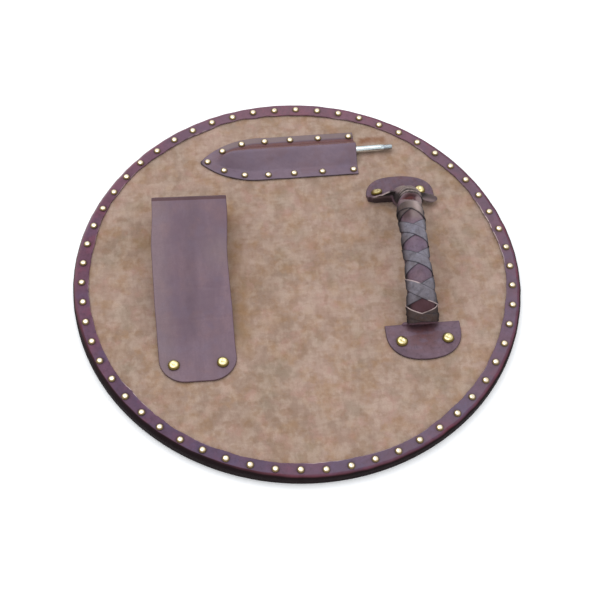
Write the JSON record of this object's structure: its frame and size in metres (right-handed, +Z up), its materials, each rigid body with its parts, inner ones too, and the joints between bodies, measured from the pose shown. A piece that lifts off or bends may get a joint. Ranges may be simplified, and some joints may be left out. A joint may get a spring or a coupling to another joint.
{
  "type": "round shield",
  "caption": "Flat round shield, leather over a wooden board, with a tacked edge band, suede back, arm strap, laced hand grip and a sheathed spike.",
  "frame": {"origin": "middle of the front face, on which the shield lies with its back up", "axes": "+Z up through the back, +Y from the near to the far ends of the strap and the grip, +X from the strap to the grip"},
  "size_m": [0.5, 0.5, 0.0768],
  "materials": {
    "dyed_leather": "dyed purple-brown, semi-matt, darker on the edge",
    "board_wood": "plain sawn, hidden under leather and suede",
    "suede": "tan suede, mottled, matt",
    "strap_leather": "smooth grain, soft sheen",
    "grip_leather": "smooth grain, worn reddish in places",
    "lace_leather": "grey-brown thong with dark edges",
    "sheath_leather": "smooth grain, reddish on the far slope",
    "spike_steel": "bright plated steel",
    "brass_tack": "polished domed heads",
    "brass_rivet": "polished domed heads, slightly dimpled"
  },
  "bodies": {
    "root": {"leather_cover": "dyed_leather", "wooden_board": "board_wood", "suede_lining": "suede", "arm_strap": "strap_leather", "hand_grip": "grip_leather", "grip_lace": "lace_leather", "spike_sheath": "sheath_leather", "steel_spike": "spike_steel", "sheath_tack_01": "brass_tack", "sheath_tack_02": "brass_tack", "sheath_tack_03": "brass_tack", "sheath_tack_04": "brass_tack", "sheath_tack_05": "brass_tack", "sheath_tack_06": "brass_tack", "sheath_tack_07": "brass_tack", "sheath_tack_08": "brass_tack", "sheath_tack_09": "brass_tack", "sheath_tack_10": "brass_tack", "sheath_tack_11": "brass_tack", "sheath_tack_12": "brass_tack", "sheath_tack_13": "brass_tack", "grip_rivet_1": "brass_rivet", "strap_rivet_1": "brass_rivet", "grip_rivet_2": "brass_rivet", "strap_rivet_2": "brass_rivet", "grip_rivet_3": "brass_rivet", "strap_rivet_3": "brass_rivet", "grip_rivet_4": "brass_rivet", "strap_rivet_4": "brass_rivet"}
  },
  "joints": []
}
